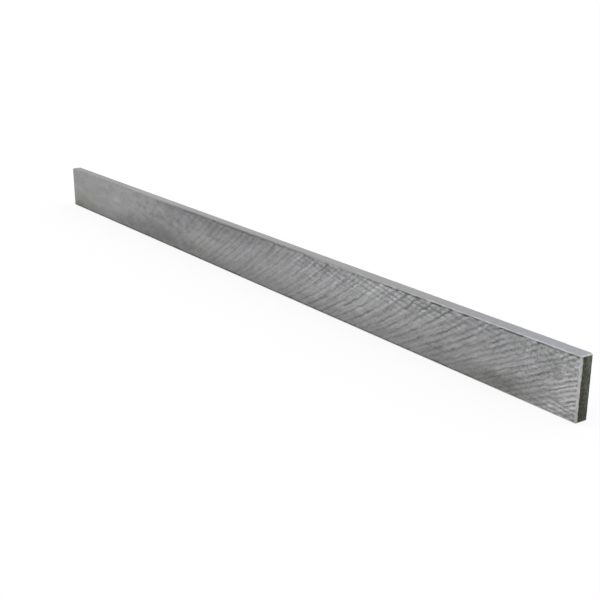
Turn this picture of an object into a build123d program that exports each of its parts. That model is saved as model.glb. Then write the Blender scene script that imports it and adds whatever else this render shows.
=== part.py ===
from build123d import *
import os

# Steel straight edge: one flat bar, ground true on its four long faces.
# It stands on a narrow working face. X runs along the bar, Y across its
# thickness and Z up. The origin is the middle of the face it stands on.

# Driving dimensions in millimetres
length = 600.0  # end to end
height = 35.0  # from one narrow working face to the other
thickness = 8.5  # from one wide face to the other
end_chamfer = 1.2  # leg of the flat on the four upright corners of the ends
edge_break = 0.8  # leg of the flat that breaks the edges of each working face

# The bar and its ends
# The plan is a long rectangle whose corners carry the heavier end chamfers,
# so that the bar can be slid endwise along the work without catching.
with BuildPart() as straight_edge:
    with BuildSketch() as plan:
        Rectangle(length, thickness)
        chamfer(plan.vertices(), length=end_chamfer)
    extrude(amount=height)

    # The broken edges
    # Every edge round both working faces is taken off by the same small flat.
    # It runs on round the end chamfers, and the flats meet in mitred corners.
    working_faces = straight_edge.faces().filter_by(Axis.Z)
    chamfer(working_faces.edges(), length=edge_break)

# The finished piece
straight_edge.part.label = "straight_edge"
os.makedirs("parts", exist_ok=True)
export_step(straight_edge.part, "parts/straight_edge.step")

overall = straight_edge.part.bounding_box().size
print(f"overall {overall.X:.2f} x {overall.Y:.2f} x {overall.Z:.2f} mm")
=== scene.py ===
# %% [markdown]
# # A ground steel straight edge
# The object is one flat bar of bare steel, 600 mm long. It stands on a narrow
# face that was ground true, and carpenters and fitters lay it on their work to
# see whether the work is flat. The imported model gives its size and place.
# This lesson makes what the eye sees: the stoned edges, the rough ends, the
# crossed arcs that the grinding wheel left, and a plain light to see them by.

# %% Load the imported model
import math
import bmesh
import bpy
from mathutils import Matrix, Vector


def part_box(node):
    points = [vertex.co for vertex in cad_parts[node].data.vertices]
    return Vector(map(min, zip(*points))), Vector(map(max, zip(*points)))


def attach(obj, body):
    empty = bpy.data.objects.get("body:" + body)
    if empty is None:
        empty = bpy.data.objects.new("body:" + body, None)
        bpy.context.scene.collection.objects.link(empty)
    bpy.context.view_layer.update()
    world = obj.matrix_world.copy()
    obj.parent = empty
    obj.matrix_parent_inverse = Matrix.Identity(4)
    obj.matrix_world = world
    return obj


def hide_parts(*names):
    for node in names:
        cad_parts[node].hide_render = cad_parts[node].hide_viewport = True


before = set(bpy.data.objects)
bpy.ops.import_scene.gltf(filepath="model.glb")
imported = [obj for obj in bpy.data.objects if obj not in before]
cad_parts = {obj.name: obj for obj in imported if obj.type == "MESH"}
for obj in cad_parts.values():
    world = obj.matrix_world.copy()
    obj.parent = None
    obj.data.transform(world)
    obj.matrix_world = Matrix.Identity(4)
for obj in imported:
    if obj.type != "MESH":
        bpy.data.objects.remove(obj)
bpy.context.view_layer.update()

MM = 0.001  # one millimetre, because Blender works in metres
low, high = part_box("straight_edge")
length, thickness, height = high - low
print(f"bar {length / MM:.1f} x {thickness / MM:.1f} x {height / MM:.1f} mm")

# %% [markdown]
# ## The camera
# A photograph of a straight object gives its camera away: the long edges run
# to one vanishing point, and the nearer end is larger by a known ratio. The
# place, the turn and the lens below were worked out from those, so the bar
# lands where it stands in the picture. It could be set by eye with an empty
# to track, but measured values keep the edges on their pixels.

# %% Set the camera
picture_side = 600  # pixels along each side of the square picture
focal_length = 971.5  # in the same pixels
sensor_side = 36.0  # mm, Blender's own default
camera_place = Vector((568.4, -357.3, 199.0)) * MM
heading = math.radians(54.58)  # turned left from +Y
downward = math.radians(17.88)  # below the horizon
lean = math.radians(0.167)  # a hand-held camera is rarely quite level

bpy.ops.object.select_all(action="DESELECT")
bpy.ops.object.camera_add(location=camera_place)
camera = bpy.context.object
camera.name = "camera"
turn = Matrix.Rotation(heading, 3, "Z") @ Matrix.Rotation(math.pi / 2 - downward, 3, "X")
camera.rotation_euler = (turn @ Matrix.Rotation(lean, 3, "Z")).to_euler()
camera.data.sensor_width = sensor_side
camera.data.lens = focal_length / picture_side * sensor_side
camera.data.clip_start = 10 * MM
bpy.context.scene.camera = camera
print(f"lens {camera.data.lens:.1f} mm")

# %% [markdown]
# ## The bar
# The real bar was sawn from flat stock, its upright corners were filed off at
# the ends, and its four long edges were broken with a stone. A cube that is
# stretched to size and bevelled twice is made the same way, and in the same
# order. A curve with a profile would do for the length, but not for the ends.

# %% Pick edges and faces by where they are
def pick(kind, wanted):
    """Selects only the edges or faces that pass the test, and counts them."""
    bpy.ops.mesh.select_mode(type=kind)
    bpy.ops.mesh.select_all(action="DESELECT")
    shape = bmesh.from_edit_mesh(bar.data)
    shape.normal_update()
    parts = shape.faces if kind == "FACE" else shape.edges
    chosen = [part for part in parts if wanted(part)]
    for part in chosen:
        part.select_set(True)
    shape.select_flush_mode()
    bmesh.update_edit_mesh(bar.data)
    return len(chosen)


def spans(edge, axis):
    """How far an edge runs along one axis."""
    first, second = edge.verts
    return abs(first.co[axis] - second.co[axis])


# %% Saw the blank
bpy.ops.object.select_all(action="DESELECT")
bpy.ops.mesh.primitive_cube_add(size=1, location=(low + high) / 2, scale=high - low)
bar = bpy.context.object
bar.name = "ground_bar"
bar.data.name = "ground_bar"
bpy.ops.object.transform_apply(location=True, rotation=True, scale=True)
print("blank", [round(side / MM, 1) for side in bar.dimensions])

# %% File off the upright corners of the ends
end_chamfer = 1.2 * MM
tiny = 0.001 * MM  # closer than this counts as the same place

bpy.ops.object.mode_set(mode="EDIT")
corners = pick("EDGE", lambda edge: spans(edge, 2) > height / 2)
bpy.ops.mesh.bevel(offset=end_chamfer, offset_type="OFFSET", segments=1)
print("upright corners filed", corners)

# %% Break the edges of both working faces
edge_break = 0.8 * MM


def on_rim(edge):
    """True for an edge that lies wholly in the lower or the upper working face."""
    levels = {round(vertex.co.z / tiny) for vertex in edge.verts}
    return len(levels) == 1 and levels <= {round(low.z / tiny), round(high.z / tiny)}


rims = pick("EDGE", on_rim)
bpy.ops.mesh.bevel(offset=edge_break, offset_type="OFFSET", segments=1)
print("edges broken", rims)

# %% [markdown]
# ## Places for the wear
# A flat face needs no more than its outline, but the stone did not follow the
# edges evenly, and the sawn ends are rough. Wear needs vertices to move, so the
# bar is cut where wear will be: a margin beside each long edge, a fine grid
# over each end, and slices along the length. Bisect cuts straight through at a
# chosen place, where subdivide alone would only halve what is there.

# %% Cut margins and stations
def cut_across(axis, places, wanted=lambda face: True):
    """Bisects the chosen faces at each place along one axis."""
    normal = [0.0, 0.0, 0.0]
    normal[axis] = 1.0
    for place in places:
        point = [0.0, 0.0, 0.0]
        point[axis] = place
        pick("FACE", wanted)
        bpy.ops.mesh.bisect(plane_co=point, plane_no=normal, threshold=tiny)


edge_margin = 1.8 * MM  # how far in from an edge the faces stay dead flat
end_zone = 3 * MM  # what the end grid takes of the length
ring = 2 * MM  # between the end grid and the slices
station = 100 * MM
half = length / 2

cut_across(2, (low.z + edge_margin, high.z - edge_margin))
cut_across(1, (low.y + edge_margin, high.y - edge_margin))
stations = [step * station for step in range(-2, 3)]
ring_places = [half - end_zone, half - end_zone - ring]
cut_across(0, stations + ring_places + [-place for place in ring_places])
print("faces after the cuts", len(bmesh.from_edit_mesh(bar.data).faces))

# %% Slice the length
slices = 64  # between one station and the next, about 1.6 mm each


def is_long_edge(edge):
    """True for an edge along the bar that runs from one station to the next."""
    return spans(edge, 0) > station / 2


pick("EDGE", is_long_edge)
bpy.ops.mesh.subdivide(number_cuts=slices - 1)
print("faces after slicing", len(bmesh.from_edit_mesh(bar.data).faces))

# %% Grid the ends
grid_cell = 0.6 * MM


def in_end_zone(face):
    """True for a face that lies within the last few millimetres of an end."""
    return all(abs(vertex.co.x) > half - end_zone - tiny for vertex in face.verts)


def evenly(start, stop, cell):
    """Places between two limits, about one cell apart."""
    count = round((stop - start) / cell)
    return [start + (stop - start) * step / count for step in range(1, count)]


cut_across(2, evenly(low.z + edge_break, high.z - edge_break, grid_cell), in_end_zone)
inner = thickness / 2 - end_chamfer
cut_across(1, evenly(-inner, inner, grid_cell), in_end_zone)
print("faces with the end grids", len(bmesh.from_edit_mesh(bar.data).faces))

# %% [markdown]
# ## An end that is not quite square
# The saw ran a little askew at one end: seen from above, that end leaves the
# square by 2.6 degrees. The last vertices are turned together about the upright
# edge at the back, so the front corner moves in and nothing moves out.

# %% Turn the near end
askew = 2.6  # degrees
at_end = half - end_chamfer - tiny
bpy.ops.mesh.select_mode(type="VERT")
bpy.ops.mesh.select_all(action="DESELECT")
shape = bmesh.from_edit_mesh(bar.data)
turned = [vertex for vertex in shape.verts if vertex.co.x > at_end]
for vertex in turned:
    vertex.select_set(True)
bmesh.update_edit_mesh(bar.data)
hinge = (half - end_chamfer, high.y, 0.0)
bpy.ops.transform.rotate(value=math.radians(askew), orient_axis="Z", center_override=hinge)
corner_in = max(vertex.co.x for vertex in turned if vertex.co.y < low.y + end_chamfer)
print("vertices turned", len(turned), "front corner at", round(corner_in / MM, 3))

# %% [markdown]
# ## Four finishes on one piece
# It is one piece of steel, but four ways of working it left four surfaces: the
# wide faces under a big wheel, the narrow working faces ground along their
# length, the stoned flats, and the ends as they were sawn and left to scale.
# Each gets a material slot of its own now, while every face still points
# exactly where the maker left it.

# %% Hand out the finishes
squarely = 0.9  # a face looks along an axis when this much of its normal does
finishes = {
    "wide_face_ground": lambda n: abs(n.y) > squarely,
    "working_face_ground": lambda n: abs(n.z) > squarely,
    "end_scale": lambda n: abs(n.x) > squarely,
    "stoned_flat": lambda n: max(abs(n.x), abs(n.y), abs(n.z)) < squarely,
}
for number, (finish, points_so) in enumerate(finishes.items()):
    material = bpy.data.materials.new(finish)
    material.use_nodes = True
    bar.data.materials.append(material)
    faces = pick("FACE", lambda face: points_so(face.normal))
    bar.active_material_index = number
    bpy.ops.object.material_slot_assign()
    print(finish, faces, "faces")
bpy.ops.object.mode_set(mode="OBJECT")

# %% [markdown]
# ## A flat pattern of the skin
# When the finish is baked for other programs, each face needs its own place on
# a square picture. An automatic layout squeezes a bar this long until the
# grinding marks blur. So the skin is unrolled as a tinsmith would: once round
# the section, in three lengths one above the other, with both ends drawn larger
# in a row of their own.

# %% Measure the sheet
rows = 3
row_length = length / rows
gutter = 1.5 * MM  # bare strip between one row and the next
end_scale_up = 2.0  # the ends are drawn this much larger
slope = math.sqrt(2)  # a 45 degree flat is this much longer than its leg
flat_run = edge_break * slope
wide_run = height - 2 * edge_break
narrow_run = thickness - 2 * edge_break
round_the_bar = 2 * (wide_run + narrow_run) + 4 * flat_run
end_row = end_scale_up * (thickness + 2 * end_chamfer)
sheet_height = rows * round_the_bar + end_row + (rows + 2) * gutter
sheet_width = row_length + 2 * gutter
print(f"flat pattern {sheet_width / MM:.0f} x {sheet_height / MM:.0f} mm")

# %% Unroll the section and the slopes
eighths = [math.radians(45 * step) for step in range(8)]
facing = [Vector((0, -math.cos(eighth), math.sin(eighth))) for eighth in eighths]
runs = [wide_run, flat_run, narrow_run, flat_run] * 2


def round_the_section(y, z, normal):
    """The distance from the foot of the front face, up and over to the bottom."""
    side = max(range(8), key=lambda index: normal.dot(facing[index]))
    up = z - low.z - edge_break
    back = y - low.y - edge_break
    into = [
        up,
        (up - wide_run) * slope,
        back,
        (back - narrow_run) * slope,
        wide_run - up,
        -up * slope,
        narrow_run - back,
        -back * slope,
    ]
    return sum(runs[:side]) + into[side]


def unrolled(value, flat):
    """A distance from the middle, over a flat and then down a 45 degree slope."""
    over = max(abs(value) - flat, 0.0)
    return math.copysign(abs(value) - over + over * slope, value)


# %% Lay the skin on the sheet
tilted_endways = 0.3  # the ends and the filed flats beside them look along X by more
flat_pattern = bar.data.uv_layers.new(name="OFBake")
for face in bar.data.polygons:
    is_end = abs(face.normal.x) > tilted_endways
    row = min(rows - 1, int((face.center.x + half) / row_length))
    for corner in face.loop_indices:
        x, y, z = bar.data.vertices[bar.data.loops[corner].vertex_index].co
        if is_end:
            tall = unrolled(z - height / 2, height / 2 - edge_break) * end_scale_up
            across = unrolled(y, inner) * end_scale_up
            along = sheet_width / 2 + math.copysign(sheet_width / 4, face.center.x) + tall
            up_sheet = sheet_height - gutter - end_row / 2 + across
        else:
            along = gutter + x + half - row * row_length
            up_sheet = gutter + row * (round_the_bar + gutter) + round_the_section(y, z, face.normal)
        flat_pattern.data[corner].uv = (along / sheet_width, up_sheet / sheet_height)
print("corners laid on the sheet", len(flat_pattern.data))

# %% [markdown]
# ## Wear that has a shape
# A stone rides over the edges unevenly, so each flat is a little wider here and
# narrower there. The sawn ends kept a rough skin of scale, with lumps and pits
# some tenths of a millimetre deep. Two displace modifiers with a cloud texture
# make both, and each is held to its own vertices by a group. They only push
# inward, as wear does, so the bar never grows past its real size.

# %% Push the wear in
def wear_in(name, weights, lump, depth):
    """Pushes the weighted vertices inward by up to a depth, in lumps of a size."""
    group = bar.vertex_groups.new(name=name)
    for index, weight in weights.items():
        group.add([index], weight, "REPLACE")
    lumpy = bpy.data.textures.new(name, type="CLOUDS")
    lumpy.noise_scale = lump
    lumpy.noise_depth = 3
    push = bar.modifiers.new(name, "DISPLACE")
    push.texture = lumpy
    push.texture_coords = "LOCAL"
    push.vertex_group = name
    push.mid_level = 1.0
    push.strength = depth
    bpy.ops.object.modifier_apply(modifier=name)
    bar.vertex_groups.remove(bar.vertex_groups[name])
    print(name, len(weights), "vertices")


def vertices_of(finish):
    """The vertices of all faces that wear a finish."""
    slot = list(finishes).index(finish)
    faces = [face for face in bar.data.polygons if face.material_index == slot]
    return {index for face in faces for index in face.vertices}


rim_weight = 0.3  # the rim of an end is rubbed smoother than its middle
sawn = vertices_of("end_scale")
stoned = vertices_of("stoned_flat")
sawn_weights = {index: rim_weight if index in stoned else 1.0 for index in sawn}
stoned_weights = {index: 1.0 for index in stoned - sawn}
wear_in("uneven_stoning", stoned_weights, lump=4 * MM, depth=0.16 * MM)
wear_in("rough_scale", sawn_weights, lump=1.3 * MM, depth=0.5 * MM)

# %% Keep the edges crisp
crease = math.radians(32)
bpy.ops.object.shade_smooth_by_angle(angle=crease)
print("faces in all", len(bar.data.polygons))

# %% [markdown]
# ## Helpers for the finishes
# A material is a small machine of nodes. These helpers add one node each, or a
# short chain of them, and hand back the result, so that the finishes below read
# like a recipe. Patterns are measured in millimetres from the object's own
# coordinates, so they stay on the steel however it is viewed.

# %% Add nodes and join them
def add_node(tree, kind, **settings):
    """Adds a node of a kind and sets its options."""
    made = tree.nodes.new(kind)
    for name, value in settings.items():
        setattr(made, name, value)
    return made


def feed(tree, value, socket):
    """Joins a result to a socket, or writes a plain value into it."""
    if isinstance(value, bpy.types.NodeSocket):
        tree.links.new(value, socket)
    else:
        socket.default_value = value


# %% Arithmetic with nodes
def calc(tree, operation, *values):
    """One step of arithmetic."""
    made = add_node(tree, "ShaderNodeMath", operation=operation)
    for value, socket in zip(values, made.inputs):
        feed(tree, value, socket)
    return made.outputs[0]


def product(tree, first, *others):
    """All values multiplied together. Masks joined so hold only where all of them do."""
    for other in others:
        first = calc(tree, "MULTIPLY", first, other)
    return first


def add_where(tree, base, mask, amount):
    """Adds an amount to a base, as far as a mask goes."""
    return calc(tree, "MULTIPLY_ADD", mask, amount, base)


def centred(tree, pattern):
    """Moves the middle of a pattern from 0.5 to 0, so that it pushes both ways."""
    return calc(tree, "SUBTRACT", pattern, 0.5)


def vary(tree, base, pattern, amount):
    """Lets a pattern push a base both ways, by half the amount at most."""
    return add_where(tree, base, centred(tree, pattern), amount)


# %% Fades between numbers
def fade(tree, value, start, stop, first=0.0, last=1.0):
    """Moves smoothly from the first number to the last as a value passes two marks."""
    made = add_node(tree, "ShaderNodeMapRange", interpolation_type="SMOOTHSTEP")
    for value, socket in zip((value, start, stop, first, last), made.inputs):
        feed(tree, value, socket)
    return made.outputs[0]


def mix_number(tree, share, first, second):
    """A number between two numbers."""
    made = add_node(tree, "ShaderNodeMix", data_type="FLOAT")
    for value, socket in zip((share, first, second), (made.inputs[0], made.inputs[2], made.inputs[3])):
        feed(tree, value, socket)
    return made.outputs[0]


# %% Places and noise
def millimetres(tree):
    """The object's own coordinates, in millimetres."""
    made = add_node(tree, "ShaderNodeTexCoord")
    scale = add_node(tree, "ShaderNodeVectorMath", operation="SCALE")
    tree.links.new(made.outputs["Object"], scale.inputs[0])
    scale.inputs["Scale"].default_value = 1 / MM
    return scale.outputs[0]


def parts_of(tree, place):
    """The three numbers of a place."""
    made = add_node(tree, "ShaderNodeSeparateXYZ")
    feed(tree, place, made.inputs[0])
    return made.outputs


def joined(tree, *values):
    """Three numbers as a place."""
    made = add_node(tree, "ShaderNodeCombineXYZ")
    for value, socket in zip(values, made.inputs):
        feed(tree, value, socket)
    return made.outputs[0]


def clouds(tree, place, sizes=(1, 1, 1), detail=2.0):
    """Soft noise, about 0.5 on average, whose lumps have a size along each axis."""
    shrink = add_node(tree, "ShaderNodeVectorMath", operation="MULTIPLY")
    feed(tree, place, shrink.inputs[0])
    shrink.inputs[1].default_value = [1 / size for size in sizes]
    made = add_node(tree, "ShaderNodeTexNoise")
    tree.links.new(shrink.outputs[0], made.inputs["Vector"])
    made.inputs["Scale"].default_value = 1.0
    made.inputs["Detail"].default_value = detail
    return made.outputs["Fac"]


# %% Colours
def grey(value, red=1.0, green=1.0, blue=1.0):
    """A grey, tinted by up to three factors."""
    return (value * red, value * green, value * blue, 1.0)


def blend(tree, share, first, second):
    """A colour between two colours."""
    made = add_node(tree, "ShaderNodeMix", data_type="RGBA")
    feed(tree, share, made.inputs["Factor"])
    feed(tree, first, made.inputs[6])
    feed(tree, second, made.inputs[7])
    return made.outputs[2]


def tint(tree, share, colour, factors):
    """Multiplies a colour by three factors, where the share is one."""
    made = add_node(tree, "ShaderNodeMix", data_type="RGBA", blend_type="MULTIPLY")
    feed(tree, share, made.inputs["Factor"])
    feed(tree, colour, made.inputs[6])
    made.inputs[7].default_value = (*factors, 1.0)
    return made.outputs[2]


# %% Node groups
def new_group(name, inputs, outputs):
    """Starts a node group. Inputs map a name to its default, a number or None for a place."""
    tree = bpy.data.node_groups.new(name, "ShaderNodeTree")
    for label, value in inputs.items():
        kind = "NodeSocketVector" if value is None else "NodeSocketFloat"
        socket = tree.interface.new_socket(name=label, in_out="INPUT", socket_type=kind)
        if value is not None:
            socket.default_value = value
    for label in outputs:
        tree.interface.new_socket(name=label, in_out="OUTPUT", socket_type="NodeSocketFloat")
    source = add_node(tree, "NodeGroupInput")
    target = add_node(tree, "NodeGroupOutput")
    return tree, source.outputs, target.inputs


def use_group(tree, group, **values):
    """Places a group in a material. Underscores in the value names stand for spaces."""
    made = add_node(tree, "ShaderNodeGroup", node_tree=group)
    for label, value in values.items():
        feed(tree, value, made.inputs[label.replace("_", " ")])
    return made.outputs


# %% [markdown]
# ## The marks of the wheel
# The wide faces were ground under a wheel far larger than the bar is high. Each
# grain on its rim scratched an arc, and between one pass and the next the bar
# moved on by the feed. An arc is a circle, so the place along the bar where it
# started is x minus the width of a circle at that height. Every point with the
# same start lies on the same arc, and stripes across that number are the marks.
# The spacing is eased here and tightened there but the marks stay true, and
# each mark has a number, from which it gets its own run of strong and faint.

# %% Group: where the arc through a point started
arcs_group, given, result = new_group(
    "wheel_arcs",
    {
        "Place": None,
        "Wheel radius": 260.0,
        "Wheel height": 232.0,  # of the wheel's middle, above the foot of the bar
        "Lean": 1.0,  # 1 on the wheel's way in, and -1 on its way out
        "Feed": 8.3,
        "Nudge": 0.0,  # moves the marks along the bar
        "Jitter": 1.0,  # how unevenly they are spaced, in feeds
        "Waver": 1.0,  # how far they wander from a true arc
        "Run": 9.0,  # how long a mark stays strong or faint
        "Line width": 0.5,
        "Seed": 0.0,
    },
    ("Lines", "Crests", "Lands", "Streaks"),
)
tree = arcs_group
x, y, z = parts_of(tree, given["Place"])
side_apart = 11.0  # gives each side of the bar its own noise
ripple_size = (5, 5, 4)
side_seed = add_where(tree, given["Seed"], y, side_apart)
drop = calc(tree, "SUBTRACT", given["Wheel height"], z)
radius_squared = product(tree, given["Wheel radius"], given["Wheel radius"])
reach_squared = calc(tree, "SUBTRACT", radius_squared, product(tree, drop, drop))
reach = calc(tree, "SQRT", calc(tree, "MAXIMUM", reach_squared, 1.0))
start = calc(tree, "SUBTRACT", x, product(tree, reach, given["Lean"]))
start = calc(tree, "ADD", start, given["Nudge"])
start = vary(tree, start, clouds(tree, given["Place"], ripple_size, 1.0), given["Waver"])
print("nodes that find the start", len(tree.nodes))

# %% Group: number the arcs and measure from the nearest
ease_passes = 1.6  # the spacing eases over about so many marks
ease_length = 80.0  # and over so many millimetres
passes = calc(tree, "DIVIDE", start, given["Feed"])
eased = calc(tree, "DIVIDE", passes, ease_passes)
slowly = joined(tree, eased, side_seed, calc(tree, "DIVIDE", x, ease_length))
passes = vary(tree, passes, clouds(tree, slowly, detail=1.0), given["Jitter"])
number = calc(tree, "ROUND", passes)
slant = calc(tree, "DIVIDE", reach, given["Wheel radius"])
spacing = product(tree, given["Feed"], slant)
off_line = calc(tree, "ABSOLUTE", calc(tree, "SUBTRACT", passes, number))
from_line = product(tree, off_line, spacing)
print("nodes that number the arcs", len(tree.nodes))

# %% Group: the lines, and the crests between them
mark_apart = 5.37  # keeps the noise of one mark clear of its neighbour's
sharp_core = 0.2  # this much of a line's width is at its full strength
along = calc(tree, "DIVIDE", x, given["Run"])  # each mark grows strong and faint along this
own_run = joined(tree, product(tree, number, mark_apart), side_seed, along)
presence = fade(tree, clouds(tree, own_run), 0.32, 0.5)
line_core = product(tree, given["Line width"], sharp_core)
line = fade(tree, from_line, line_core, given["Line width"], 1.0, 0.0)
feed(tree, product(tree, line, presence), result["Lines"])
feed(tree, fade(tree, from_line, 0.0, product(tree, spacing, 0.5)), result["Crests"])
print("nodes with the lines", len(tree.nodes))

# %% Group: the lands between two marks, and the streaks on them
land_apart = 3.71
land_seed = calc(tree, "ADD", side_seed, 40.0)  # so that lands and lines differ
land_number = product(tree, calc(tree, "FLOOR", passes), land_apart)
own_land = joined(tree, land_number, land_seed, along)
feed(tree, clouds(tree, own_land, (1, 1, 1.4)), result["Lands"])
streak_size = (1.5, 1, 6)
along_arcs = joined(tree, start, side_seed, x)
feed(tree, clouds(tree, along_arcs, streak_size), result["Streaks"])
print(arcs_group.name, len(tree.nodes), "nodes")

# %% [markdown]
# ## The grain of the grind
# The narrow faces and the stoned flats have a finer grain: scratches much longer
# than they are wide. It is the same noise on both, stretched along the way that
# the tool went, so it is one group with the scratch's length and width as its
# inputs.

# %% Group: fine grain
grain_group, given, result = new_group(
    "grind_grain",
    {"Place": None, "Scratch length": 30.0, "Scratch width": 0.25, "Seed": 0.0},
    ("Grain",),
)
tree = grain_group
x, y, z = parts_of(tree, given["Place"])
run = calc(tree, "DIVIDE", x, given["Scratch length"])
over = calc(tree, "DIVIDE", calc(tree, "ADD", y, given["Seed"]), given["Scratch width"])
up = calc(tree, "DIVIDE", z, given["Scratch width"])
feed(tree, clouds(tree, joined(tree, run, over, up), detail=3.0), result["Grain"])
print(grain_group.name, len(tree.nodes), "nodes")

# %% [markdown]
# ## Mottle
# Bare steel is never one grey. Handling, oil and a breath of rust leave soft
# patches. One group makes patches of any size, sharper or softer, and each
# finish uses it with its own values.

# %% Group: mottle
mottle_group, given, result = new_group(
    "mottle",
    {"Place": None, "Patch length": 12.0, "Patch height": 4.0, "Softness": 0.1, "Seed": 0.0},
    ("Patches",),
)
tree = mottle_group
x, y, z = parts_of(tree, given["Place"])
side_apart = 3.0  # gives each side of the bar its own patches
run = calc(tree, "DIVIDE", x, given["Patch length"])
across = add_where(tree, given["Seed"], y, side_apart)
over = calc(tree, "DIVIDE", across, given["Patch height"])
up = calc(tree, "DIVIDE", z, given["Patch height"])
lumps = clouds(tree, joined(tree, run, over, up), detail=3.0)
low_mark = calc(tree, "SUBTRACT", 0.5, given["Softness"])
high_mark = calc(tree, "ADD", 0.5, given["Softness"])
feed(tree, fade(tree, lumps, low_mark, high_mark), result["Patches"])
print(mottle_group.name, len(tree.nodes), "nodes")


def patches_of(tree, place, length, height, softness, seed):
    """Soft patches about so long and so high, in millimetres."""
    return use_group(
        tree, mottle_group, Place=place, Patch_length=length, Patch_height=height,
        Softness=softness, Seed=seed,
    )["Patches"]


# %% [markdown]
# ## Stains
# A thumb, a drop of oil or a damp bench leaves a mark in one place. This group
# makes one soft stain with a ragged rim, given its middle and its reach, and
# the finishes place as many as they need.

# %% Group: stain
stain_group, given, result = new_group(
    "stain",
    {
        "Place": None,
        "Middle x": 0.0,
        "Middle z": 0.0,
        "Reach x": 10.0,
        "Reach z": 5.0,
        "Ragged": 1.2,
    },
    ("Stain",),
)
tree = stain_group
x, y, z = parts_of(tree, given["Place"])
off_x = calc(tree, "DIVIDE", calc(tree, "SUBTRACT", x, given["Middle x"]), given["Reach x"])
off_z = calc(tree, "DIVIDE", calc(tree, "SUBTRACT", z, given["Middle z"]), given["Reach z"])
squares = calc(tree, "ADD", product(tree, off_x, off_x), product(tree, off_z, off_z))
away = calc(tree, "SQRT", squares)
away = vary(tree, away, clouds(tree, given["Place"], (9, 9, 4), 3.0), given["Ragged"])
feed(tree, fade(tree, away, 0.1, 1.0, 1.0, 0.0), result["Stain"])
print(stain_group.name, len(tree.nodes), "nodes")


def stain_at(tree, place, middle_x, middle_z, reach_x, reach_z):
    """One soft stain, with its middle and its reach in millimetres."""
    return use_group(
        tree, stain_group, Place=place, Middle_x=middle_x, Middle_z=middle_z, Reach_x=reach_x,
        Reach_z=reach_z,
    )["Stain"]


# %% [markdown]
# ## Dark dashes under the edge
# Where a face meets a stoned flat, the steel is darker along the corner in broken
# dashes. The dashes cross from the face onto the flat, so both finishes share
# this group.

# %% Group: dark dashes under the upper edges
dark_dashes_group, given, result = new_group("dark_edge_dashes", {"Place": None, "Seed": 51.0}, ("Dark dashes",))
tree = dark_dashes_group
x, y, z = parts_of(tree, given["Place"])
dashes_height = height / MM - 1.1  # just under the upper flats
side_apart = 7.0  # gives the front and the back edge their own dashes
run = joined(tree, x, add_where(tree, given["Seed"], y, side_apart), 0.0)
from_corner = calc(tree, "ABSOLUTE", calc(tree, "SUBTRACT", z, dashes_height))
dashes = product(
    tree,
    fade(tree, clouds(tree, run, (9, 9, 9), 3.0), 0.42, 0.52, 0.25, 1.0),
    fade(tree, x, 100, 215, 0.35, 1.15),
    fade(tree, x, -140, -100),
    fade(tree, from_corner, 0.3, 0.6, 1.0, 0.0),
)
feed(tree, dashes, result["Dark dashes"])
print(dark_dashes_group.name, len(tree.nodes), "nodes")

# %% [markdown]
# ## The wide faces: where two ways cross
# Two sets of arcs lie on the wide faces: the wheel cut on its way in and again
# on its way out. The way in is the bold one. The way out shows mostly in the
# upper part, where the two make a chequer of small bright cells. So the first
# step is a mask of that part, and soft noise pushes its border about, because a
# border that follows a number too well looks drawn. All places are in
# millimetres: x runs from -300 at the far end to 300 at the near one, and z is
# the height above the foot.

# %% Helpers for a finish
def finish_parts(name):
    """The node tree of a finish and its shader."""
    tree = bpy.data.materials[name].node_tree
    return tree, tree.nodes["Principled BSDF"]


def raise_bump(tree, shader, relief, depth):
    """Gives a finish a relief of a depth in metres."""
    bump = add_node(tree, "ShaderNodeBump")
    bump.inputs["Strength"].default_value = 1.0
    bump.inputs["Distance"].default_value = depth
    feed(tree, relief, bump.inputs["Height"])
    feed(tree, bump.outputs[0], shader.inputs["Normal"])


# %% Wide faces: where two ways cross
tree, shader = finish_parts("wide_face_ground")
place = millimetres(tree)
x, y, z = parts_of(tree, place)
rag = clouds(tree, place, (12, 12, 9), 3.0)  # pushes each border about
ragged_z = vary(tree, z, rag, 24.0)
# The cells begin high up, come lower along the bar, and rise again near its end.
cell_floor = calc(tree, "ADD", fade(tree, x, 20, 100, 31.5, 22.5), fade(tree, x, 175, 205, 0, 4.0))
above_floor = calc(tree, "SUBTRACT", ragged_z, cell_floor)
upper = product(
    tree,
    fade(tree, above_floor, -6, 6),
    fade(tree, x, 15, 80),
    fade(tree, x, 195, 230, 1.0, 0.6),
)
lower = product(tree, fade(tree, ragged_z, 9, 5), fade(tree, x, 235, 262, 0.0, 0.5))
crossing = calc(tree, "MAXIMUM", upper, lower)
print("nodes of the mask", len(tree.nodes))

# %% Wide faces: the marks of the way out
outward = use_group(
    tree, arcs_group, Place=place, Wheel_radius=3000.0, Wheel_height=2983.0, Lean=-1.0, Feed=19.8,
    Jitter=1.1, Waver=10.0, Run=7.0, Line_width=0.6, Seed=41.0,
)
outward_hold = product(
    tree,
    fade(tree, outward["Lands"], 0.38, 0.58, 0.45, 1.0),  # it bit unevenly
    fade(tree, x, 90, 170, 0.65, 1.0),
)
outward_crests = mix_number(tree, outward_hold, 0.75, outward["Crests"])
nudge = product(tree, centred(tree, outward_crests), crossing, 1.1)
print("nodes with the way out", len(tree.nodes))

# %% [markdown]
# ## The wide faces: the marks of the way in
# The bold marks change along the bar. They are steep and wide apart at first,
# and lie flatter and closer towards the near end. One group makes them in four
# stretches, each with its own values, and each stretch fades into the next
# across a ragged border. To bend one set along the bar would be less work, but
# then all its marks would turn together, and they don't. Where the two ways
# cross, a mark steps aside a little at each mark of the way out.

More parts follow.
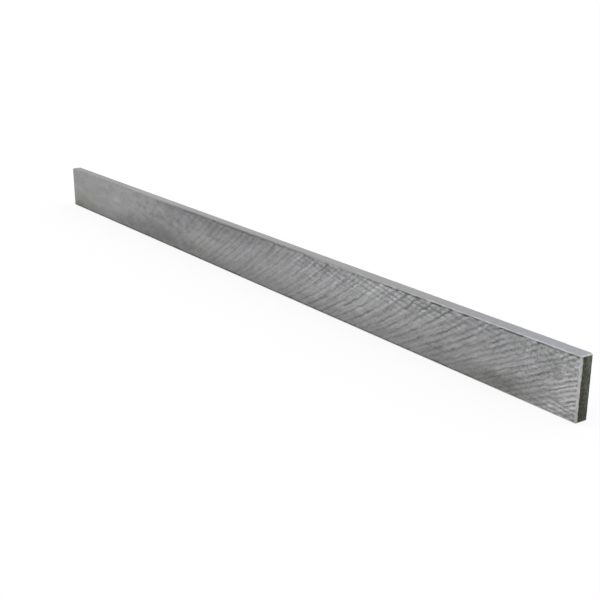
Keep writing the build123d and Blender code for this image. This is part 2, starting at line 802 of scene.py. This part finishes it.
# %% Wide faces: four stretches of arcs
steep = dict(Wheel_radius=260.0, Wheel_height=232.0, Feed=8.3, Waver=4.5, Seed=3.0)
flatter = dict(Wheel_radius=700.0, Wheel_height=627.0, Feed=7.9, Waver=4.5, Seed=17.0)
dense = dict(Wheel_radius=2000.0, Wheel_height=1812.6, Feed=6.6, Waver=3.5, Seed=43.0)
close = dict(Wheel_radius=2000.0, Wheel_height=1812.6, Feed=5.4, Waver=2.5, Seed=29.0)
line_width = fade(tree, x, -60, 70, 1.3, 0.75)
slanting = calc(tree, "MULTIPLY_ADD", z, -0.45, x)  # leans as the marks do
borders = (
    fade(tree, vary(tree, x, rag, 60.0), 180, 204),
    fade(tree, vary(tree, slanting, rag, 40.0), 218, 232),
    fade(tree, vary(tree, slanting, rag, 18.0), 271, 283),
)
last_stretch = borders[-1]


def marks_of(settings):
    """One set of arcs on the wide faces."""
    return use_group(tree, arcs_group, Place=place, Nudge=nudge, Line_width=line_width, **settings)


inward = dict(marks_of(steep).items())
for border, settings in zip(borders, (flatter, dense, close)):
    beyond = marks_of(settings)
    inward = {part: mix_number(tree, border, inward[part], beyond[part]) for part in inward}
print("stretches of arcs", len(borders) + 1)

# %% Wide faces: the chequer of small cells
finer = marks_of(dict(Wheel_radius=300.0, Wheel_height=272.0, Feed=5.0, Waver=3.0, Seed=61.0))
# The crossed grind is the steel's own, but its bright cells, where the crests of both ways cross, are
# painted glints.
cells = product(
    tree,
    mix_number(tree, 0.6, inward["Crests"], finer["Crests"]),
    product(tree, outward_crests, 1.8),
    fade(tree, inward["Lands"], 0.35, 0.65, 0.6, 1.4),  # some cells are brighter
)
crests = mix_number(tree, crossing, inward["Crests"], cells)
print("nodes with the cells", len(tree.nodes))

# %% [markdown]
# ## The wide faces: bold here, faint there
# Towards the far end the marks fade out. They are also fainter low on the face,
# under a film of oil, and where the last grind left a fine mesh instead. So one
# number says how bold they are at each place, and the marks are added up first
# and scaled by it afterwards. That keeps the balance between the sets the same
# where all of them are faint.

# %% Wide faces: how bold the marks are
calm = product(tree, fade(tree, x, 175, 195), fade(tree, x, 262, 240), fade(tree, z, 22, 14, 0.0, 0.25))
bold = product(
    tree,
    calc(tree, "ADD", fade(tree, x, -110, -25, 0.10, 0.55), fade(tree, x, 25, 110, 0.0, 0.5)),
    fade(tree, z, 1, 14, 0.5, 1.0),  # fainter at the foot
    calc(tree, "SUBTRACT", 1.0, calm),
)
bold = add_where(tree, bold, crossing, 0.08)
last_bold = product(tree, last_stretch, fade(tree, z, 1, 10, 0.85, 1.2))
oil = stain_at(tree, place, middle_x=250.0, middle_z=6.0, reach_x=34.0, reach_z=8.0)
mesh_upper = product(tree, fade(tree, x, 242, 256), fade(tree, ragged_z, 15, 22))
bold = product(
    tree,
    calc(tree, "MAXIMUM", bold, last_bold),
    add_where(tree, 1.0, oil, -0.55),
    add_where(tree, 1.0, mesh_upper, -0.25),
    fade(tree, x, 272, 286, 1.0, 1.3),
)
print("nodes with the boldness", len(tree.nodes))

# %% Wide faces: add the marks up
middle_tone = 0.52
line_share = calc(
    tree, "ADD", fade(tree, x, -20, 40, -0.10, -0.13), fade(tree, last_stretch, 0, 1, 0.0, 0.11)
)
line_share = add_where(tree, line_share, crossing, 0.07)
marks = product(tree, inward["Lines"], line_share)
marks = add_where(tree, marks, finer["Lines"], add_where(tree, -0.10, crossing, 0.06))
marks = add_where(tree, marks, outward["Lines"], add_where(tree, -0.05, crossing, -0.02))
marks = vary(tree, marks, crests, add_where(tree, 0.10, crossing, 0.15))
marks = vary(tree, marks, inward["Lands"], 0.22)
marks = vary(tree, marks, inward["Streaks"], 0.28)
marks = calc(tree, "ADD", fade(tree, finer["Streaks"], 0.55, 0.75, 0.0, 0.2), marks)
tone = add_where(tree, middle_tone, marks, bold)
print("nodes with the marks", len(tree.nodes))

# %% Wide faces: mesh, patches and blotches
mesh = product(tree, mesh_upper, fade(tree, x, 256, 270))
speckle = patches_of(tree, place, length=1.1, height=0.9, softness=0.3, seed=6.0)
speckle_share = add_where(tree, fade(tree, x, 225, 265, 0.1, 0.2), mesh, 0.22)
tone = vary(tree, tone, speckle, speckle_share)
soft_patches = patches_of(tree, place, length=14.0, height=4.5, softness=0.16, seed=5.0)
tone = vary(tree, tone, soft_patches, fade(tree, x, -240, -150, 0.07, 0.05))
blotches = patches_of(tree, place, length=6.5, height=3.0, softness=0.2, seed=12.0)
blotched = product(tree, fade(tree, x, 15, 80), fade(tree, x, 235, 200), fade(tree, z, 4, 10, 0.3, 1.0))
tone = add_where(tree, tone, fade(tree, blotches, 0.32, 0.14, 0.012, -0.07), blotched)
# At the near end the crests alone shine, and squaring them makes them narrower.
bright_crests = product(tree, crests, crests, fade(tree, z, 22, 30, 0.32, 0.15))
tone = add_where(tree, tone, last_stretch, bright_crests)
print("nodes with the patches", len(tree.nodes))

# %% [markdown]
# ## The wide faces: the shading from place to place
# The face is darker here and lighter there, partly from years of use and partly
# as painted reflection and shade. No single noise puts such places where they
# really are, so they are listed: each row of the table is one soft stain. The
# lowest millimetres are darker all along, a painted reflection of the paper's
# shade, with a thin painted shadow line at the very foot.

# %% Wide faces: listed shades
# Partly marks of use and partly painted reflection and shade: the broad dark stain high up in the
# middle is a painted reflection.
shades = (  # middle x, middle z, reach x, reach z, how much lighter or darker
    (-300, 17, 130, 90, -0.04),
    (-50, 38, 150, 24, -0.20),
    (130, 23, 100, 19, 0.07),
    (188, 30, 44, 6, -0.10),
    (100, 29, 46, 6, -0.08),
    (285, 8, 46, 26, 0.03),
    (-206, 21, 10, 3.5, 0.10),
    (-184, 18, 15, 4, 0.07),
    (-156, 21, 8, 3.5, 0.06),
    (-124, 18, 11, 4, 0.09),
    (-99, 21, 6, 3, 0.07),
    (-52, 18, 12, 6, 0.05),
    (-240, 4, 50, 12, 0.05),
    (-126, 12, 90, 17, -0.17),
    (95, 13, 56, 9, 0.05),
    (200, 12, 60, 14, -0.03),
    (-288, 5.0, 5, 0.8, -0.25),
    (-283, 3.4, 6, 0.7, -0.25),
)
for *where, amount in shades:
    tone = add_where(tree, tone, stain_at(tree, place, *where), amount)
print("shades", len(shades))

# %% Wide faces: painted shade at the foot, the oil and the dark dashes
# Painted reflection of the paper's shade: the face grows darker towards the foot all along.
tone = add_where(tree, tone, fade(tree, z, 17, 0), fade(tree, x, -60, 60, -0.22, -0.16))
# A painted shadow line at the very foot, with a ragged upper side.
foot = product(
    tree,
    fade(tree, vary(tree, z, rag, 1.6), 2.1, 1.0),
    fade(tree, x, 40, 110, 1.0, 0.75),
    fade(tree, x, 225, 262, 1.0, 0.0),
)
tone = add_where(tree, tone, foot, fade(tree, x, -70, 0, -0.38, -0.3))
tone = add_where(tree, tone, oil, -0.17)
# Darker dashes just under the upper edges.
dark_dashes = use_group(tree, dark_dashes_group, Place=place)["Dark dashes"]
tone = add_where(tree, tone, dark_dashes, -0.34)
print("nodes of the tone", len(tree.nodes))

# %% [markdown]
# ## The wide faces: colour and gloss
# Ground steel is close to a plain grey, but not quite. Its upper part has faint
# lavender and blue-green casts, as cooled steel has, and oil leaves an olive
# one low down. A tint multiplies the grey, so the marks stay under it. The
# darker a place is, the rougher it is, and the crests stand a little proud.

# %% Wide faces: the casts of colour
steel = blend(tree, tone, grey(0.08, blue=0.99), grey(0.52))
cooled = product(tree, fade(tree, z, 15, 27), fade(tree, x, -130, -90))
lavender = product(tree, cooled, fade(tree, soft_patches, 0.35, 0.85, 0.0, 0.8))
blue_green = product(tree, cooled, fade(tree, soft_patches, 0.6, 0.15, 0.0, 0.8))
steel = tint(tree, lavender, steel, (1.0, 0.982, 1.045))
steel = tint(tree, blue_green, steel, (0.98, 0.997, 1.005))
steel = tint(tree, oil, steel, (1.0, 1.0, 0.97))
olive = (  # middle x, middle z, reach x, reach z of the patches with an olive cast
    (-277, 10, 38, 14),
    (-104, 4, 20, 6),
    (-61, 3, 11, 6),
)
for where in olive:
    steel = tint(tree, stain_at(tree, place, *where), steel, (1.0, 1.0, 0.91))
feed(tree, steel, shader.inputs["Base Color"])
print("olive patches", len(olive))

# %% Wide faces: gloss and relief
feed(tree, fade(tree, tone, 0.2, 0.7, 0.46, 0.3), shader.inputs["Roughness"])
shader.inputs["Metallic"].default_value = 1.0
shader.inputs["Specular Tint"].default_value = grey(0.8)
raise_bump(tree, shader, product(tree, crests, bold), 0.03 * MM)
print("wide faces", len(tree.nodes), "nodes")

# %% [markdown]
# ## The narrow working faces
# These are the faces that do the work, so they were ground last and finest,
# straight along the bar. They are lighter than the wide faces, partly from the
# finer grind and partly as painted light, with hair lines along their whole
# length. A darker band runs beside the front edge for part of the way, and
# towards the near end the grind is spotted and a little bluer.

# %% Working faces: the grind
tree, shader = finish_parts("working_face_ground")
place = millimetres(tree)
x, y, z = parts_of(tree, place)
grain = use_group(
    tree, grain_group, Place=place, Scratch_length=40.0, Scratch_width=0.35, Seed=9.0
)["Grain"]
patches = patches_of(tree, place, length=14.0, height=5.0, softness=0.2, seed=8.0)
spots = patches_of(tree, place, length=3.0, height=1.4, softness=0.2, seed=18.0)
tone = vary(tree, fade(tree, x, -330, 60, 0.4, 0.6), grain, 0.35)
tone = vary(tree, tone, patches, 0.1)
tone = vary(tree, tone, spots, fade(tree, x, 120, 260, 0.06, 0.3))
tone = calc(tree, "ADD", fade(tree, x, 260, 300, 0.0, 0.06), tone)
print("nodes of the grind", len(tree.nodes))

# %% Working faces: the darker band, colour and gloss
from_front = calc(tree, "SUBTRACT", y, low.y / MM)
darker_front_band = product(
    tree,
    fade(tree, x, -150, -60, 0.12, 0.34),
    fade(tree, x, 120, 30),
    fade(tree, x, -180, -130),
    fade(tree, from_front, 2.0, 0.8),  # only beside the front edge
)
tone = calc(tree, "SUBTRACT", tone, darker_front_band)
worn = product(tree, fade(tree, x, -200, -160), fade(tree, x, -80, -120))
tone = add_where(tree, tone, worn, 0.12)
# Partly painted light: the grey runs lighter than on the wide faces.
steel = blend(tree, tone, grey(0.2, blue=1.01), grey(0.48, blue=1.015))
steel = tint(tree, fade(tree, x, 190, 290), steel, (1.02, 1.06, 1.14))
feed(tree, steel, shader.inputs["Base Color"])
feed(tree, fade(tree, tone, 0.2, 0.8, 0.34, 0.24), shader.inputs["Roughness"])
shader.inputs["Metallic"].default_value = 1.0
shader.inputs["Specular Tint"].default_value = grey(0.75)
raise_bump(tree, shader, grain, 0.01 * MM)
print("working faces", len(tree.nodes), "nodes")

# %% [markdown]
# ## The stoned flats
# A stone leaves the small flats smoother than the faces beside them. Along the
# working faces part of them is darker in broken dashes. Their lightness along
# the bar is painted light: a painted highlight that changes along the bar, a
# bright painted line along the middle of each flat towards the near end, and
# painted shade on the lower flats. The flats at the ends were filed bright, and
# a painted highlight adds to that; scale from the end has crept over their
# outer side.

# %% Stoned flats: how far a point is from the end
tree, shader = finish_parts("stoned_flat")
place = millimetres(tree)
x, y, z = parts_of(tree, place)
lost_in_front = math.sin(math.radians(askew)) * thickness / MM  # what the askew end lost there
lost = fade(tree, y, low.y / MM, high.y / MM, lost_in_front, 0.0)
from_end = calc(tree, "SUBTRACT", half / MM, calc(tree, "ABSOLUTE", x))
from_end = calc(tree, "SUBTRACT", from_end, product(tree, lost, fade(tree, x, 0, 1)))
filed_leg = end_chamfer / MM
filed = fade(tree, from_end, filed_leg + 0.2, filed_leg)
# A painted highlight adds to the filing, and is darker low down.
filed = product(tree, filed, fade(tree, z, 3, 14, 0.55, 0.75))
print(f"lost in front {lost_in_front:.2f} mm")

# %% Stoned flats: painted highlight and shade along the bar
middle = height / MM / 2
flat_starts = middle - edge_break / MM
from_middle = calc(tree, "ABSOLUTE", calc(tree, "SUBTRACT", z, middle))
up_flat = fade(tree, from_middle, flat_starts, middle)
# Painted highlight and shade: how light the flats look changes along the bar.
bright = calc(tree, "ADD", fade(tree, x, -150, -50, 0.35, 0.16), fade(tree, x, 30, 130, -0.02, 0.22))
bright = vary(tree, bright, up_flat, fade(tree, x, 40, 120, 0.04, 0.0))
# Painted highlight: a bright line along the middle of each flat, strongest towards the near end.
off_core = calc(tree, "ABSOLUTE", calc(tree, "MULTIPLY_ADD", up_flat, 2.6, -1.1))
core = calc(tree, "MAXIMUM", calc(tree, "SUBTRACT", 1.0, off_core), 0.0)
core = product(tree, core, fade(tree, x, 130, 260, 0.03, 0.27))  # a bright line along the middle
# Painted shade: the lower flats are darker, except near the near end.
lower_flat_shade = fade(tree, x, 225, 262, 0.5, 1.1)
bright = product(tree, calc(tree, "ADD", bright, core), fade(tree, z, 2, 5, lower_flat_shade, 1.0))
painted_light_and_filing = calc(tree, "MAXIMUM", bright, filed)
print("nodes of the brightness", len(tree.nodes))

# %% Stoned flats: colour, scale and gloss
grain = use_group(
    tree, grain_group, Place=place, Scratch_length=6.0, Scratch_width=0.3, Seed=21.0
)["Grain"]
patches = patches_of(tree, place, length=5.0, height=2.0, softness=0.2, seed=14.0)
tone = vary(tree, painted_light_and_filing, grain, 0.3)
tone = vary(tree, tone, patches, 0.15)
dark_dashes = use_group(tree, dark_dashes_group, Place=place)["Dark dashes"]
tone = add_where(tree, tone, dark_dashes, -0.3)
bare = blend(tree, tone, grey(0.08), grey(0.55, red=1.01, blue=1.03))
low_rust = (0.36, 0.28, 0.22, 1.0)
high_rust = (0.34, 0.33, 0.27, 1.0)
black_scale = (0.05, 0.05, 0.04, 1.0)
creep = vary(tree, from_end, patches, 0.25)
rusty = blend(tree, fade(tree, z, 6, 26), low_rust, high_rust)
bare = blend(tree, fade(tree, creep, 0.45, 0.28), bare, rusty)
bare = blend(tree, fade(tree, creep, 0.22, 0.1), bare, black_scale)
feed(tree, bare, shader.inputs["Base Color"])
feed(tree, fade(tree, tone, 0.2, 0.8, 0.45, 0.28), shader.inputs["Roughness"])
shader.inputs["Metallic"].default_value = 1.0
raise_bump(tree, shader, grain, 0.01 * MM)
print("stoned flats", len(tree.nodes), "nodes")

# %% [markdown]
# ## The sawn ends
# Nobody ground the ends. They kept a dark skin of scale with an olive cast and
# a few brown freckles of rust. Scale isn't metal to the eye: it is an oxide,
# dull and rough, so its metallic value is low.

# %% Ends: scale and rust
tree, shader = finish_parts("end_scale")
place = millimetres(tree)
x, y, z = parts_of(tree, place)
lumps = patches_of(tree, place, length=1.6, height=1.6, softness=0.22, seed=31.0)
rust = patches_of(tree, place, length=2.0, height=2.0, softness=0.05, seed=77.0)
# Painted shade: the end grows darker towards the bottom. It is also darker towards the front.
lighter_back_and_top = product(tree, fade(tree, y, -4.2, 4.2, 0.38, 1.25), fade(tree, z, 2, 34, 0.66, 1.08))
scale_tone = product(tree, fade(tree, lumps, 0.0, 1.0, 0.35, 0.8), lighter_back_and_top)
thick_scale = (0.006, 0.008, 0.004, 1.0)
thin_scale = (0.243, 0.269, 0.214, 1.0)
rust_brown = (0.13, 0.075, 0.045, 1.0)
scale_colour = blend(tree, scale_tone, thick_scale, thin_scale)
freckled = blend(tree, product(tree, rust, 0.10), scale_colour, rust_brown)
feed(tree, freckled, shader.inputs["Base Color"])
feed(tree, fade(tree, lumps, 0.0, 1.0, 0.85, 0.6), shader.inputs["Roughness"])
shader.inputs["Metallic"].default_value = 0.2
shader.inputs["Specular IOR Level"].default_value = 0.25
raise_bump(tree, shader, lumps, 0.12 * MM)
print("ends", len(tree.nodes), "nodes")

# %% [markdown]
# ## The paper and the light
# The bar stands on white paper in a white room. For the eye, and for
# reflections, the room is plain white. What lights the surfaces is a little
# less, and two broad lamps make up the rest, so colours come out as they are
# written and the bar still sets a soft shadow on the paper.

# %% Lay the paper
paper_side = 40.0  # metres, so that its edge is lost in the white
paper_gap = 0.02 * MM  # keeps the paper from lying in the bar's own lower face
bpy.ops.object.select_all(action="DESELECT")
bpy.ops.mesh.primitive_plane_add(size=paper_side, location=(0, 0, low.z - paper_gap))
paper = bpy.context.object
paper.name = "paper"
bpy.ops.object.mode_set(mode="EDIT")
bpy.ops.mesh.subdivide(number_cuts=3)
bpy.ops.object.mode_set(mode="OBJECT")
print("paper", [round(side, 1) for side in paper.dimensions[:2]], "m")

# %% Whiten the paper
def seen_directly(tree):
    """1 for what the camera or a reflection sees, and 0 for what gives light."""
    path = add_node(tree, "ShaderNodeLightPath").outputs
    seen = calc(tree, "MAXIMUM", path["Is Camera Ray"], path["Is Glossy Ray"])
    return calc(tree, "MAXIMUM", seen, path["Is Transmission Ray"])


paper_white = 0.15
white_paper = bpy.data.materials.new("white_paper")
white_paper.use_nodes = True
paper.data.materials.append(white_paper)
tree, shader = finish_parts("white_paper")
shader.inputs["Base Color"].default_value = grey(paper_white)
shader.inputs["Roughness"].default_value = 1.0
shader.inputs["Specular IOR Level"].default_value = 0.0
shader.inputs["Emission Color"].default_value = grey(1.0)
lift = product(tree, seen_directly(tree), 1.0 - paper_white)
feed(tree, lift, shader.inputs["Emission Strength"])
print("the paper gives", round(1.0 - paper_white, 2), "of its own to the eye")

# %% Light the room
room_light = 0.78  # what the white room gives to surfaces
world = bpy.data.worlds.new("white_room")
world.use_nodes = True
bpy.context.scene.world = world
tree = world.node_tree
room = tree.nodes["Background"]
room.inputs["Color"].default_value = grey(1.0)
strength = fade(tree, seen_directly(tree), 0, 1, room_light, 1.0)
feed(tree, strength, room.inputs["Strength"])

lamps = {  # the way towards each lamp, its spread in degrees, and its strength
    "key_lamp": (Vector((-0.43, -0.41, 0.81)), 50.0, 0.45),
    "fill_lamp": (Vector((0.5, 0.35, 0.79)), 90.0, 0.45),
}
for name, (towards, spread, power) in lamps.items():
    bpy.ops.object.light_add(type="SUN", location=towards)
    lamp = bpy.context.object
    lamp.name = name
    lamp.rotation_euler = towards.to_track_quat("Z", "Y").to_euler()
    lamp.data.angle = math.radians(spread)
    lamp.data.energy = power
    print(name, f"adds {power * towards.z / math.pi:.2f} of white to the paper")

bpy.context.scene.view_settings.view_transform = "Standard"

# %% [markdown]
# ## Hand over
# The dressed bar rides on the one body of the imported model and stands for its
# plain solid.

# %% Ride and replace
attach(bar, "root")
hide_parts("straight_edge")
